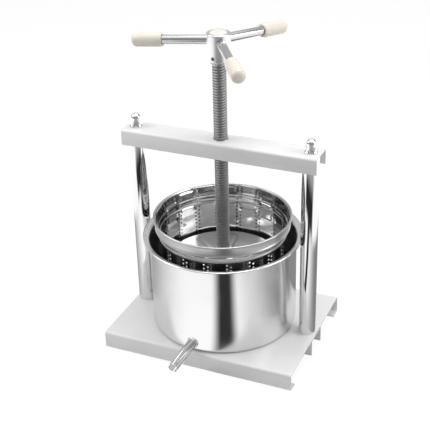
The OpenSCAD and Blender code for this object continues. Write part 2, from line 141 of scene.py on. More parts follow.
class Graph:
    """A node tree that is filled by calls."""

    def __init__(self, tree):
        self.tree = tree
        tree.nodes.clear()

    def node(self, kind, settings=None, inputs=None, output=0):
        made = self.tree.nodes.new("ShaderNode" + kind)
        for name, value in (settings or {}).items():
            setattr(made, name, value)
        for name, value in (inputs or {}).items():
            if isinstance(value, Wire):
                self.tree.links.new(value.socket, made.inputs[name])
            else:
                made.inputs[name].default_value = value
        if made.outputs:
            return Wire(self, made.outputs[output])

    def noise(self, size, detail=3.0, scale=(1, 1, 1)):
        """Soft random patches whose size is given in millimetres."""
        spot = self.node("TexCoord", output="Object")
        spot = self.node("Mapping", None, {"Vector": spot, "Scale": scale})
        inputs = {"Vector": spot, "Scale": 1 / (size * MM), "Detail": detail}
        return self.node("TexNoise", None, inputs)

    def step(self, value, low, high, start=0.0, end=1.0):
        """Goes smoothly from start to end while value goes from low to high."""
        inputs = {"Value": value, "From Min": low, "From Max": high, "To Min": start, "To Max": end}
        return self.node("MapRange", {"interpolation_type": "SMOOTHSTEP"}, inputs)

    def turn_step(self, value, low, high, start=0.0, end=1.0):
        """A step over an angle, with low and high in degrees."""
        return self.step(value, math.radians(low), math.radians(high), start, end)

    def place(self, output="Object"):
        """The x, y and z of each spot in metres or, in the world, of each direction."""
        vector = self.node("TexCoord", output=output)
        return [self.node("SeparateXYZ", None, {0: vector}, output=axis) for axis in range(3)]

    def blend(self, factor, first, second):
        """Mixes two colours, given as greys, triples or wires."""
        inputs = {0: factor, 6: colour(first), 7: colour(second)}
        return self.node("Mix", {"data_type": "RGBA"}, inputs, output=2)


class Finish(Graph):
    """A material with the slot of the record that it stands for."""

    def __init__(self, name, slot):
        self.material = bpy.data.materials.new(name)
        self.material.use_nodes = True
        self.slot = slot
        super().__init__(self.material.node_tree)

    def close(self, bumps=(), **sockets):
        """Sets the shader's sockets. Bumps are pairs of a height and its depth in millimetres."""
        normal = None
        for height, depth in bumps:
            inputs = {"Height": height, "Distance": depth * MM, "Strength": 1.0}
            if normal:
                inputs["Normal"] = normal
            normal = self.node("Bump", None, inputs)
        inputs = {name.replace("_", " "): value for name, value in sockets.items()}
        inputs["Base Color"] = colour(inputs["Base Color"])
        if normal:
            inputs["Normal"] = normal
        shader = self.node("BsdfPrincipled", None, inputs)
        self.node("OutputMaterial", None, {"Surface": shader})
        print(f"{self.material.name}: {len(self.tree.nodes)} nodes")
        return self


# %% [markdown]
# ## Powder coat and chrome
# The sheet parts are powder coated: white, with the faint orange peel that the coat leaves when it
# melts. Chrome is nearly a mirror, with smudges of grease. Painted pictures could carry both, but
# noise has no seams and no end, so it changes tone and gloss a little and gives a shallow bump.

# %% Powder coat and chrome
PEEL_DEPTH = 0.012
CHROME_LINE_DEPTH = 0.0006


def make_powder_coat():
    coat = Finish("white powder coat", "white_coat")
    patches = coat.noise(size=45)
    tone = coat.blend(coat.step(patches, 0.3, 0.7), (0.85, 0.85, 0.855), (0.88, 0.88, 0.88))
    return coat.close(
        bumps=[(coat.noise(size=1.6, detail=1), PEEL_DEPTH)],
        Base_Color=tone,
        Roughness=coat.step(patches, 0.3, 0.7, start=0.2, end=0.26),
    )


def make_chrome(name, slot, tone=0.8, rough=0.05):
    chrome = Finish(name, slot)
    smudge = chrome.noise(size=18, detail=4)
    lines = chrome.noise(size=3, detail=2, scale=(3, 3, 0.12))
    return chrome.close(
        bumps=[(lines, CHROME_LINE_DEPTH)],
        Base_Color=chrome.blend(smudge, tone - 0.04, tone + 0.02),
        Metallic=1.0,
        Roughness=chrome.step(smudge, 0.35, 0.75, start=rough, end=rough + 0.05),
    )


powder_coat = make_powder_coat()
column_chrome = make_chrome("column chrome", "column_chrome")
nut_chrome = make_chrome("nut chrome", "nut_chrome")
rod_chrome = make_chrome("rod chrome", "rod_chrome", tone=0.62, rough=0.2)

# %% [markdown]
# ## Polished steel
# Polishing leaves fine lines, and pressing leaves shallow dents. Lines as fine as a pot's can't be
# shown one by one, so an anisotropic shader stretches the reflections across them instead, as the
# lines would. Grain says how tightly the coarser lines repeat along each axis.

# %% Polished steel
POLISH_DEPTH = 0.002
DENT_SIZE = 38
LINE_ROUGH = 0.03
ACROSS_LINES = 0.25


def make_polished_steel(name, slot, tone, rough, grain=(1, 1, 1), dents=0.0, lined=0.0):
    steel = Finish(name, slot)
    lines = steel.noise(size=2.5, detail=3, scale=grain)
    smudge = steel.noise(size=30, detail=4)
    gloss = steel.step(smudge, 0.3, 0.75, start=rough, end=rough + 0.06)
    return steel.close(
        bumps=[(lines, POLISH_DEPTH), (steel.noise(size=DENT_SIZE, detail=1), dents)],
        Base_Color=steel.blend(smudge, tone - 0.05, tone + 0.03),
        Metallic=1.0,
        Roughness=gloss + lines * LINE_ROUGH,
        Anisotropic=lined,
        Anisotropic_Rotation=ACROSS_LINES,
    )


ROUND_GRAIN = (0.25, 0.25, 6)
hub_steel = make_polished_steel(
    "turned hub steel", "hub_steel", tone=0.76, rough=0.26, grain=ROUND_GRAIN
)
pot_steel = make_polished_steel(
    "polished pot steel", "pot_steel", tone=0.83, rough=0.15, grain=ROUND_GRAIN, lined=0.93
)
spout_steel = make_polished_steel("polished spout steel", "pot_steel", tone=0.72, rough=0.12)
plate_steel = make_polished_steel(
    "pressed plate steel", "plate_steel", tone=0.84, rough=0.27, dents=0.25
)

# %% [markdown]
# ## The basket's sheet
# Punching leaves the panels between the pairs of hole columns a little flat, and each has its own
# ripples and shallow creases. None stands out by more than a millimetre, so bump shows them well
# enough, from waves whose place depends on the panel. They are kept to the inside by a mask, and
# the collar's outside is plain and brushed.

# %% Basket steel
HOLE_PAIRS = 18
HOLE_TURN = -2.0
PANEL_FLAT = 0.7
RIPPLE_PITCH = 27.0
RIPPLE_DEPTH = 0.22
RIPPLE_SHIFT = 2.4
RIPPLE_LEAN = 1.5
SWELL_PITCH = 61.0
SWELL_DEPTH = 0.35
SWELL_SHIFT = 1.7
CREASE_PITCH = 25.0
CREASE_HALF = 2.2
CREASE_DEPTH = 2.0
CREASE_FOOT = 123.0
CREASE_FULL = 135.0
CREASE_SHIFT = 0.44
CREASE_TURN = 50
CREASE_START = 208
DIMPLE_SIZE = 24
DIMPLE_DEPTH = 0.35
WALL_MIDDLE_R = 95.1
BAND_MIDDLE_R = 99.6
BAND_FOOT = 153.5
BAND_EDGE = 0.5
MASK_EDGE = 0.2
BRUSHED_FOOT = 143.0
BRUSHED_FADE = 3.0
BRUSHED_ROUGH = 0.2


def inside_mask(steel, across, up):
    """1 on the inner face of wall and collar, and 0 on the outer one."""
    band = steel.step(up, (BAND_FOOT - BAND_EDGE) * MM, BAND_FOOT * MM)
    middle = (WALL_MIDDLE_R + band * (BAND_MIDDLE_R - WALL_MIDDLE_R)) * MM
    return steel.step(across - middle, -MASK_EDGE * MM, MASK_EDGE * MM, 1, 0)


def crease_height(steel, up, index):
    """Slopes that rise slowly up the wall and drop back within a crease, each panel's shifted."""
    shift = (index * math.radians(CREASE_TURN) - math.radians(CREASE_START)).sine() * CREASE_SHIFT
    turns = up / (CREASE_PITCH * MM) - shift
    off = turns - math.floor(turns) - 0.5
    half = CREASE_HALF / CREASE_PITCH
    return steel.step(off, -half, half, 0.5, -0.5) + off


def make_basket_steel():
    steel = Finish("polished basket steel", "basket_steel")
    x, y, up = steel.place()
    panel = (x.math("ARCTAN2", y, x) - math.radians(HOLE_TURN)) * (HOLE_PAIRS / TAU)
    index = math.floor(panel)
    along = panel - index
    inside = inside_mask(steel, (x * x + y * y).root(), up)
    flat = along * (1 - along) * 4 * inside
    ripple = up * (TAU / (RIPPLE_PITCH * MM)) + index * RIPPLE_SHIFT + along * RIPPLE_LEAN
    swell = up * (TAU / (SWELL_PITCH * MM)) + index * SWELL_SHIFT
    creased = steel.step(flat, 0.3, 0.75) * steel.step(up, CREASE_FOOT * MM, CREASE_FULL * MM)
    crease = crease_height(steel, up, index) * creased
    smudge = steel.noise(size=30, detail=4)
    band = steel.step(up, BRUSHED_FOOT * MM, (BRUSHED_FOOT + BRUSHED_FADE) * MM)
    brushed = (1 - inside) * band * BRUSHED_ROUGH
    return steel.close(
        bumps=[
            (flat, PANEL_FLAT), (ripple.sine() * flat, RIPPLE_DEPTH),
            (swell.sine() * inside, SWELL_DEPTH), (crease, CREASE_DEPTH),
            (steel.noise(size=DIMPLE_SIZE, detail=1), DIMPLE_DEPTH),
        ],
        Base_Color=steel.blend(smudge, 0.5, 0.58),
        Metallic=1.0,
        Roughness=steel.step(smudge, 0.3, 0.75, start=0.1, end=0.17) + brushed,
    )


basket_steel = make_basket_steel()

# %% [markdown]
# ## Oiled, moulded and plated
# The crests of the spindle's thread are a little lighter and smoother than its roots, in patches.
# The distance from the axis tells one from the other, so no mask has to be painted. The grips are
# moulded in a cream plastic that isn't quite even, and the small fasteners are plain plated steel.

# %% Spindle steel, plastic and plain steel
THREAD_CREST_R = 10.0
THREAD_ROOT_R = 8.3
OIL_DEPTH = 0.01
MOULD_DEPTH = 0.008
PLATING_DEPTH = 0.01


def make_spindle_steel():
    steel = Finish("oiled spindle steel", "spindle_steel")
    x, y, _ = steel.place()
    high = steel.step((x * x + y * y).root(), THREAD_ROOT_R * MM, THREAD_CREST_R * MM)
    # The thread's crests are a shade lighter and smoother than its roots, in patches, so the roots
    # are darker.
    lighter_crests = high * steel.step(steel.noise(size=9), 0.25, 0.6, start=0.7)
    return steel.close(
        bumps=[(steel.noise(size=0.8, detail=3, scale=(1, 1, 4)), OIL_DEPTH)],
        Base_Color=steel.blend(lighter_crests, 0.4, 0.42),
        Metallic=1.0,
        Roughness=steel.step(lighter_crests, 0, 1, start=0.55, end=0.42),
    )


def make_cream_plastic():
    plastic = Finish("cream plastic", "cream_plastic")
    cloud = plastic.noise(size=14)
    return plastic.close(
        bumps=[(plastic.noise(size=1.1, detail=2), MOULD_DEPTH)],
        Base_Color=plastic.blend(cloud, (0.84, 0.77, 0.68), (0.87, 0.81, 0.73)),
        Roughness=plastic.step(cloud, 0.3, 0.7, start=0.32, end=0.4),
    )


def make_plain_steel(name, slot, tone, rough):
    steel = Finish(name, slot)
    spots = steel.noise(size=4, detail=4)
    return steel.close(
        bumps=[(spots, PLATING_DEPTH)],
        Base_Color=steel.blend(spots, tone * 0.8, tone * 1.15),
        Metallic=1.0,
        Roughness=steel.step(spots, 0.3, 0.7, start=rough, end=rough + 0.12),
    )


spindle_steel = make_spindle_steel()
cream_plastic = make_cream_plastic()
bush_steel = make_plain_steel("bush steel", "bush_steel", tone=0.7, rough=0.3)
zinc_steel = make_plain_steel("zinc plate", "zinc_steel", tone=0.6, rough=0.3)
black_steel = make_plain_steel("black steel", "black_steel", tone=0.35, rough=0.35)

# %% [markdown]
# ## Turning a piece
# Most pieces of a press are turned. A turned piece is a profile that spins round an axis, and each
# corner of the profile says how far it is rounded, because no real edge is sharp.

# %% Rounded profiles and turned pieces
EDGE = 0.3
CORNER_STEP = math.radians(13)
MERGE = 0.001


def wire(bm, corners, closed=False):
    """Draws edges through corners of (across, up, rounding) in millimetres and rounds them."""
    spots = [Vector((x, 0, z)) * MM for x, z, _ in corners]
    verts = [bm.verts.new(spot) for spot in spots]
    count = len(verts)
    for i in range(count if closed else count - 1):
        bm.edges.new((verts[i], verts[(i + 1) % count]))
    for i, (_, _, rounding) in enumerate(corners):
        if rounding:
            before = spots[i - 1] - spots[i]
            after = spots[(i + 1) % count] - spots[i]
            half = before.angle(after) / 2
            turn = math.pi - 2 * half
            bmesh.ops.bevel(
                bm, geom=[verts[i]], offset=rounding * MM / math.tan(half), offset_type="OFFSET",
                segments=max(2, round(turn / CORNER_STEP)), profile=0.5,
                affect="VERTICES", material=-1,
            )


def tidy(bm):
    """Closes the seams and turns every face outwards."""
    bmesh.ops.remove_doubles(bm, verts=bm.verts[:], dist=MERGE * MM)
    bmesh.ops.recalc_face_normals(bm, faces=bm.faces[:])
    return bm


def lathe(corners, steps=96, closed=False):
    """Spins a profile of (radius, height, rounding) once round the upright axis."""
    bm = bmesh.new()
    wire(bm, corners, closed)
    bmesh.ops.spin(
        bm, geom=bm.verts[:] + bm.edges[:], cent=(0, 0, 0), axis=(0, 0, 1),
        angle=TAU, steps=steps, use_merge=True, use_duplicate=False,
    )
    return tidy(bm)


def bar(radius, start, end, edge=0, steps=48):
    """A round bar along the upright axis, with a small rounding at its upper end's rim."""
    return lathe([(0, start, 0), (radius, start, 0), (radius, end, edge), (0, end, 0)], steps)


# %% [markdown]
# ## Folding a piece
# A folded sheet could be cut from a block, but its bends would then lack their inner and outer
# curves. So it is made as a press brake makes it: a bent line is drawn out along its length and
# then given its thickness.

# %% Folded pieces
FOLD_EDGE_TURN = math.radians(60)


def fold(corners, length, thickness):
    """Draws a folded line along X, centred, and thickens it towards the inside of its folds."""
    bm = bmesh.new()
    wire(bm, corners)
    bmesh.ops.rotate(
        bm, cent=(0, 0, 0), matrix=Matrix.Rotation(math.pi / 2, 3, "Z"), verts=bm.verts[:]
    )
    bmesh.ops.translate(bm, vec=(-length / 2 * MM, 0, 0), verts=bm.verts[:])
    made = bmesh.ops.extrude_edge_only(bm, edges=bm.edges[:])["geom"]
    moved = [part for part in made if isinstance(part, bmesh.types.BMVert)]
    bmesh.ops.translate(bm, vec=(length * MM, 0, 0), verts=moved)
    bmesh.ops.recalc_face_normals(bm, faces=bm.faces[:])
    if max(bm.faces, key=lambda face: face.calc_center_median().z).normal.z < 0:
        bmesh.ops.reverse_faces(bm, faces=bm.faces[:])
    bmesh.ops.solidify(bm, geom=bm.faces[:], thickness=thickness * MM)
    rims = [edge for edge in bm.edges if edge.calc_face_angle(0) > FOLD_EDGE_TURN]
    bmesh.ops.bevel(
        bm, geom=rims, offset=EDGE * MM, offset_type="OFFSET", segments=2, profile=0.5,
        affect="EDGES", material=-1,
    )
    return tidy(bm)


# %% [markdown]
# ## Placing, joining, drilling and finishing
# Each piece is made where it is easiest, upright on the axis, and then moved to its place in its
# mesh, so that every object stays at the origin. Holes that cross a curved wall are cut by a
# Boolean modifier, which follows the curve where an inset hole could not.

# %% Placing and joining
def placed(bm, matrix):
    """Moves a whole mesh by a matrix."""
    bmesh.ops.transform(bm, matrix=matrix, verts=bm.verts[:])
    return bm


def moved_by(x=0, y=0, z=0):
    """A move in millimetres."""
    return Matrix.Translation(Vector((x, y, z)) * MM)


def turned(degrees, axis="Z"):
    """A turn about an axis through the origin."""
    return Matrix.Rotation(math.radians(degrees), 4, axis)


def joined(*parts):
    """Puts several meshes into one."""
    whole = bmesh.new()
    for part in parts:
        copy = bpy.data.meshes.new("part")
        part.to_mesh(copy)
        part.free()
        whole.from_mesh(copy)
        bpy.data.meshes.remove(copy)
    return whole


# %% Drilling
def as_object(name, bm):
    """Hands a mesh over to a new object in the scene."""
    mesh = bpy.data.meshes.new(name)
    bm.to_mesh(mesh)
    bm.free()
    made = bpy.data.objects.new(name, mesh)
    bpy.context.scene.collection.objects.link(made)
    return made


def drilled(bm, *cutters):
    """Cuts the shapes of other meshes out of a mesh."""
    blank = as_object("blank", bm)
    tools = [as_object("tool", cutter) for cutter in cutters]
    for tool in tools:
        cut = blank.modifiers.new("cut", "BOOLEAN")
        cut.operation = "DIFFERENCE"
        cut.solver = "EXACT"
        cut.object = tool
    graph = bpy.context.evaluated_depsgraph_get()
    bm = bmesh.new()
    bm.from_object(blank, graph)
    for spare in [blank] + tools:
        mesh = spare.data
        bpy.data.objects.remove(spare)
        bpy.data.meshes.remove(mesh)
    return bm


# %% Finishing a piece
def finished(name, bm, body, finish, replaces, sharp=32):
    """Shades a mesh smooth between its sharp edges, and hangs it on its body."""
    for face in bm.faces:
        face.smooth = True
    for edge in bm.edges:
        edge.smooth = edge.calc_face_angle(0) < math.radians(sharp)
    piece = as_object(name, bm)
    piece.data.materials.append(finish.material)
    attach(piece, body)
    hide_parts(*replaces)
    print(f"{name}: {len(piece.data.polygons)} faces")
    return piece


def size(node):
    """A node's lowest and highest corner in millimetres."""
    low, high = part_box(node)
    return low / MM, high / MM


# %% [markdown]
# ## The folded sheets
# Base, channel and beam are folded from 2 mm sheet with open ends. The base's flanges turn in
# again at the foot, so that it stands on two flat lips. All three share one way of folding, and
# their corners come from the engineering model.

# %% Base, channel and beam
SHEET = 2.0
FOLD_R = 4.0
LIP = 18.0


def channel_line(low, high):
    return [
        (low.y, low.z, 0), (low.y, high.z, FOLD_R), (high.y, high.z, FOLD_R), (high.y, low.z, 0)
    ]


def base_line(low, high):
    return [
        (low.y + LIP, low.z, 0), (low.y, low.z, FOLD_R), (low.y, high.z, FOLD_R),
        (high.y, high.z, FOLD_R), (high.y, low.z, FOLD_R), (high.y - LIP, low.z, 0),
    ]


for name, node, line in (
    ("base_sheet", "base_plate", base_line),
    ("base_rail", "base_channel", channel_line),
    ("beam_sheet", "top_beam", channel_line),
):
    low, high = size(node)
    folded = fold(line(low, high), high.x - low.x, SHEET)
    finished(name, folded, "frame", powder_coat, [node])

# %% [markdown]
# ## Columns
# Each column is a plain tube, faced off square in a lathe, so its rims are just broken. A tie rod
# inside it, which stays as in the engineering model, clamps beam and base to its ends.

# %% Columns
COLUMN_WALL = 1.5


def column(node):
    """A tube with the width, height and place of a node."""
    low, high = size(node)
    r = (high.x - low.x) / 2
    inner_r = r - COLUMN_WALL
    tube = [(r, low.z, EDGE), (r, high.z, EDGE), (inner_r, high.z, 0), (inner_r, low.z, 0)]
    return placed(lathe(tube, 96, closed=True), moved_by(x=(low.x + high.x) / 2))


for side in ("left", "right"):
    node = f"column_{side}"
    finished(f"{side}_tube", column(node), "frame", column_chrome, [node])

# %% [markdown]
# ## Domed nuts
# A domed nut is forged round with a flange and a tapered skirt, and its six flats just stand out
# of the skirt. The round part is turned, and a six-sided prism is put through it, which gives the
# same curved lines where flat and skirt meet as a cut would.

# %% Domed nuts
DOME_R = 7.6
NUT_FLANGE_H = 2.0
SKIRT_R = 8.5
SKIRT_FOOT = 3.6
SKIRT_TOP = 8.5
FLATS_R = 8.7
FLATS_H = 8.0
FLATS_MIDDLE = 6.2
FLATS_EDGE = 0.5


def domed_nut(flange_r, height):
    """A nut on the upright axis, standing on its flange at height 0."""
    body = lathe(
        [
            (0, 0, 0), (flange_r, 0, EDGE), (flange_r, NUT_FLANGE_H, 0.6),
            (SKIRT_R, SKIRT_FOOT, 0.6), (DOME_R, SKIRT_TOP, 1), (DOME_R, height, DOME_R - 0.1),
            (0, height, 0),
        ],
        64,
    )
    flats = bmesh.new()
    bmesh.ops.create_cone(
        flats, cap_ends=True, segments=6, radius1=FLATS_R * MM, radius2=FLATS_R * MM,
        depth=FLATS_H * MM,
    )
    bmesh.ops.bevel(
        flats, geom=flats.edges[:], offset=FLATS_EDGE * MM, offset_type="OFFSET", segments=2,
        profile=0.5, affect="EDGES", material=-1,
    )
    return joined(body, placed(flats, moved_by(z=FLATS_MIDDLE)))


low, high = size("acorn_nuts")
nut_height = high.z - low.z
nut_flange_r = (high.y - low.y) / 2
nuts = [
    placed(domed_nut(nut_flange_r, nut_height), moved_by(x=x, z=low.z))
    for x in (low.x + nut_flange_r, high.x - nut_flange_r)
]
finished("domed_nuts", joined(*nuts), "frame", nut_chrome, ["acorn_nuts"])

# %% [markdown]
# ## The spindle
# A trapezoidal thread is a profile that repeats every 4 mm. Spinning the whole profile once round
# while it climbs by one pitch makes the complete helix, because each turn meets the next. Two
# planes then cut the ends square, where a plain shoulder and the journals take over.

# %% Thread
PITCH = 4.0
HELIX_STEPS = 40
THREAD_SHAPE = [
    (THREAD_ROOT_R, 0), (THREAD_ROOT_R, 1.2), (THREAD_CREST_R, 1.9), (THREAD_CREST_R, 3.3)
]


def thread(bottom, top):
    """A helix that starts below the bottom and ends above the top, cut square at both."""
    bm = bmesh.new()
    start = bottom - PITCH * 1.5
    turns = math.ceil((top - bottom) / PITCH) + 2
    verts = [
        bm.verts.new((r * MM, 0, (start + PITCH * turn + z) * MM))
        for turn in range(turns)
        for r, z in THREAD_SHAPE
    ]
    for first, second in zip(verts, verts[1:]):
        bm.edges.new((first, second))
    bmesh.ops.spin(
        bm, geom=bm.verts[:] + bm.edges[:], cent=(0, 0, 0), axis=(0, 0, 1),
        dvec=(0, 0, PITCH * MM / HELIX_STEPS), angle=TAU, steps=HELIX_STEPS,
        use_merge=False, use_duplicate=False,
    )
    bmesh.ops.remove_doubles(bm, verts=bm.verts[:], dist=MERGE * MM)
    for height, side in ((bottom, -1), (top, 1)):
        bmesh.ops.bisect_plane(
            bm, geom=bm.verts[:] + bm.edges[:] + bm.faces[:], plane_co=(0, 0, height * MM),
            plane_no=(0, 0, side), clear_outer=True,
        )
    bmesh.ops.holes_fill(bm, edges=[edge for edge in bm.edges if edge.is_boundary])
    return tidy(bm)


# %% Spindle
SWIVEL_GAP = 0.3
JOURNAL_R = 6.0
SPIGOT_R = 7.0
SPIGOT_SUNK = 1.0
SHOULDER_H = 3.5
OVERLAP = 0.5

low, high = size("spindle")
boss_low, boss_high = size("plate_boss")
hub_low, hub_high = size("handle_hub")
spindle_foot = boss_high.z + SWIVEL_GAP
shoulder_z = hub_low.z - SHOULDER_H
journal = lathe(
    [
        (0, low.z, 0), (JOURNAL_R, low.z, EDGE), (JOURNAL_R, spindle_foot, 0), (0, spindle_foot, 0)
    ],
    48,
)
spigot = bar(SPIGOT_R, hub_low.z - SPIGOT_SUNK, high.z, EDGE)
shoulder = lathe(
    [
        (0, shoulder_z, 0), (THREAD_CREST_R, shoulder_z, EDGE), (THREAD_CREST_R, hub_low.z, 0),
        (0, hub_low.z, 0),
    ],
    96,
)
screw = joined(thread(spindle_foot, shoulder_z + OVERLAP), journal, shoulder, spigot)
finished("spindle_thread", screw, "screw", spindle_steel, ["spindle"], sharp=30)

# %% [markdown]
# ## The bush in the beam
# The spindle turns in a flanged bush under the beam. Only its thin collar shows above the web, as
# a bright ring round the thread. It is one turned profile with a bore.

# %% Bush
BUSH_BORE_R = 10.05
BUSH_COLLAR_R = 11.75
BUSH_BODY_R = 15.0
FLANGE_H = 5.0

nut_low, nut_high = size("spindle_nut")
web_z = size("top_beam")[1].z - SHEET
flange_z = web_z - FLANGE_H
bush = lathe(
    [
        (BUSH_BORE_R, nut_low.z, 0.5), (BUSH_BODY_R, nut_low.z, 1), (BUSH_BODY_R, flange_z, 0.5),
        (nut_high.x, flange_z, 0.6), (nut_high.x, web_z, 0), (BUSH_COLLAR_R, web_z, 0),
        (BUSH_COLLAR_R, nut_high.z, 0.4), (BUSH_BORE_R, nut_high.z, 0.4),
    ],
    96, closed=True,
)
finished("beam_bush", bush, "frame", bush_steel, ["spindle_nut"])

# %% [markdown]
# ## Cap and hub
# The hub is turned from a bar, with a recess at the top for a cream cap. It is drilled for three
# arms that droop a little and for a grub screw, so the bores cross its curved side and are cut.

# %% Cap
CAP_R = 12.5
CAP_DEPTH = 3.0
CAP_GAP = 0.15

cap_low, cap_high = size("hub_cap")
cap_r = CAP_R - CAP_GAP
cap = lathe(
    [
        (0, cap_low.z, 0), (cap_r, cap_low.z, 0), (cap_r, hub_high.z, 0.5),
        (CAP_R / 2, (hub_high.z + 3 * cap_high.z) / 4, 0), (0, cap_high.z, 0),
    ],
    64,
)
finished("cream_cap", cap, "screw", cream_plastic, ["hub_cap"], sharp=50)

# %% Hub and its bores
HUB_R = 17.0
HUB_CHAMFER = 2.5
ARM_RISE = 31.0
ARM_DROOP = 4.6
ARM_TURNS = {"left": 185, "front": 305, "right": 65}
ROD_R = 6.5
BORE_GAP = 0.15
BORE_START = 8.0
GRUB_RISE = 8.0
GRUB_TURN = 264
GRUB_R = 3.1
GRUB_START = 5.0
PAST_HUB = 3.0


def across_hub(rise, turn, droop=0.0):
    """Lays an upright piece outwards from the axis at a height above the hub's foot."""
    return moved_by(z=hub_low.z + rise) @ turned(turn) @ turned(90 + droop, "Y")


def along_arm(turn):
    return across_hub(ARM_RISE, turn, ARM_DROOP)


recess_z = hub_high.z - CAP_DEPTH
hub = lathe(
    [
        (0, hub_low.z, 0), (HUB_R - HUB_CHAMFER, hub_low.z, 0.4),
        (HUB_R, hub_low.z + HUB_CHAMFER, 0.5), (HUB_R, hub_high.z, 2), (CAP_R, hub_high.z, 0.4),
        (CAP_R, recess_z, 0), (0, recess_z, 0),
    ],
    128,
)
bores = [
    placed(bar(ROD_R + BORE_GAP, BORE_START, HUB_R + PAST_HUB), along_arm(turn))
    for turn in ARM_TURNS.values()
]
grub_bore = placed(bar(GRUB_R, GRUB_START, HUB_R + PAST_HUB), across_hub(GRUB_RISE, GRUB_TURN))
finished("turned_hub", drilled(hub, *bores, grub_bore), "screw", hub_steel, ["handle_hub"])

# %% [markdown]
# ## Arms and grips
# Each arm is a chromed rod that runs into a cream plastic grip. A grip is moulded with a round
# outer end and a thin lip at the mouth, and one profile gives both its outside and its socket.

# %% Arms and grips
ROD_START = 14.0
ROD_END = 115.5
ROD_EDGE = 0.4
GRIP_R = 10.0
GRIP_START = 81.5
GRIP_LENGTH = 45.5
GRIP_END_R = 7.0
GRIP_GAP = 0.35
GRIP_LIP = 0.6
GRIP_SWELL = 5.0
SOCKET_DEPTH = 34.0


def rod():
    return lathe(
        [
            (0, ROD_START, 0), (ROD_R, ROD_START, ROD_EDGE), (ROD_R, ROD_END, ROD_EDGE),
            (0, ROD_END, 0),
        ],
        64,
    )


def grip():
    """A grip on the upright axis, with its socket's mouth at the lower end."""
    mouth_r = ROD_R + GRIP_GAP
    end = GRIP_START + GRIP_LENGTH
    socket = GRIP_START + SOCKET_DEPTH
    return lathe(
        [
            (0, socket, 0), (mouth_r, socket, 0), (mouth_r, GRIP_START, 0.5),
            (GRIP_R - GRIP_LIP, GRIP_START, 0.9), (GRIP_R, GRIP_START + GRIP_SWELL, 3),
            (GRIP_R, end, GRIP_END_R), (0, end, 0),
        ],
        96,
    )


for side, turn in ARM_TURNS.items():
    for kind, made, finish, node in (
        ("rod", rod(), rod_chrome, f"handle_rod_{side}"),
        ("grip", grip(), cream_plastic, f"grip_{side}"),
    ):
        finished(f"{side}_{kind}", placed(made, along_arm(turn)), "screw", finish, [node])

# %% [markdown]
# ## The press plate
# A disc is pressed with radial ribs and a turned-down rim, and carries a turned boss. Modelling
# each rib as a piece of its own would leave seams, so a fine round grid is raised along every rib
# by a formula, with the soft shoulder that the press tool leaves.

# %% Plate
RIB_COUNT = 8
RIB_TURN = 8.0
RIB_START = 27.0
RIB_HALF = 6.0
RIB_HEIGHT = 3.0
RIB_SLOPE = 4.5
RIB_FOOT = 1.0
RIB_TO_RIM = 14.0
PLATE_RINGS = 44
PLATE_STEPS = 288
PLATE_FOLD = 2.5
PLATE_EDGE = 0.9
FLAT_MARGIN = 0.5
SOCKET_GAP = 0.05

plate_low, plate_high = size("press_plate")
plate_r = plate_high.x
plate_z = plate_high.z - RIB_HEIGHT
rib_end = plate_r - RIB_TO_RIM
socket_r = JOURNAL_R + SOCKET_GAP


def rib_rise(x, y):
    """The height of the nearest rib at a point, in millimetres."""
    sector = TAU / RIB_COUNT
    angle = math.atan2(y, x) - math.radians(RIB_TURN)
    angle -= sector * round(angle / sector)
    along = math.hypot(x, y) * math.cos(angle)
    across = math.hypot(x, y) * math.sin(angle)
    past = max(RIB_START + RIB_HALF - along, along - rib_end + RIB_HALF, 0)
    reach = math.hypot(past, across)
    share = min(max((RIB_HALF + RIB_FOOT - reach) / RIB_SLOPE, 0), 1)
    return RIB_HEIGHT * share * share * (3 - 2 * share)


def ribbed_plate():
    """Spins top, rim and underside as one profile, and then raises the ribs in both faces."""
    bm = bmesh.new()
    inner_r = plate_r - SHEET
    flat_r = plate_r - PLATE_FOLD - FLAT_MARGIN
    ring = (flat_r - socket_r) / PLATE_RINGS
    top = [(socket_r + ring * i, plate_z, 0) for i in range(PLATE_RINGS + 1)]
    under = [(r, z - SHEET, 0) for r, z, _ in reversed(top)]
    rim = [
        (plate_r, plate_z, PLATE_FOLD), (plate_r, plate_low.z, PLATE_EDGE),
        (inner_r, plate_low.z, PLATE_EDGE), (inner_r, plate_z - SHEET, PLATE_FOLD - SHEET),
    ]
    wire(bm, top + rim + under, closed=True)
    bmesh.ops.spin(
        bm, geom=bm.verts[:] + bm.edges[:], cent=(0, 0, 0), axis=(0, 0, 1),
        angle=TAU, steps=PLATE_STEPS, use_merge=True, use_duplicate=False,
    )
    for vert in bm.verts:
        vert.co.z += rib_rise(vert.co.x / MM, vert.co.y / MM) * MM
    return tidy(bm)


finished("ribbed_plate", ribbed_plate(), "press_foot", plate_steel, ["press_plate"])

# %% Boss
BOSS_SKIRT = 0.8
BOSS_SUNK = 1.0
SKIRT_SUNK = 0.4

boss_r = boss_high.x
boss = lathe(
    [
        (socket_r, boss_low.z - BOSS_SUNK, 0), (boss_r + BOSS_SKIRT, boss_low.z - SKIRT_SUNK, 0),
        (boss_r, boss_low.z + BOSS_SKIRT, 0.6), (boss_r, boss_high.z, 2),
        (socket_r, boss_high.z, EDGE),
    ],
    96, closed=True,
)
finished("plate_socket", boss, "press_foot", hub_steel, ["plate_boss"])

# %% [markdown]
# ## The pot
# The pot is deep drawn from thin stainless sheet. Its wall flares into a wide lip that ends in a
# rolled bead. One profile goes down the outside and back up the inside, so the wall has its real
# thickness and both of its bends their own curve.

# %% Pot
POT_R = 110.0
POT_SHEET = 1.0
POT_EDGE_R = 6.0
POT_FLARE_R = 7.0
BEAD_W = 2.8
BEAD_H = 3.0
BEAD_RISE = 0.8
BEAD_ROUND = 1.45
BEAD_NECK = 0.4

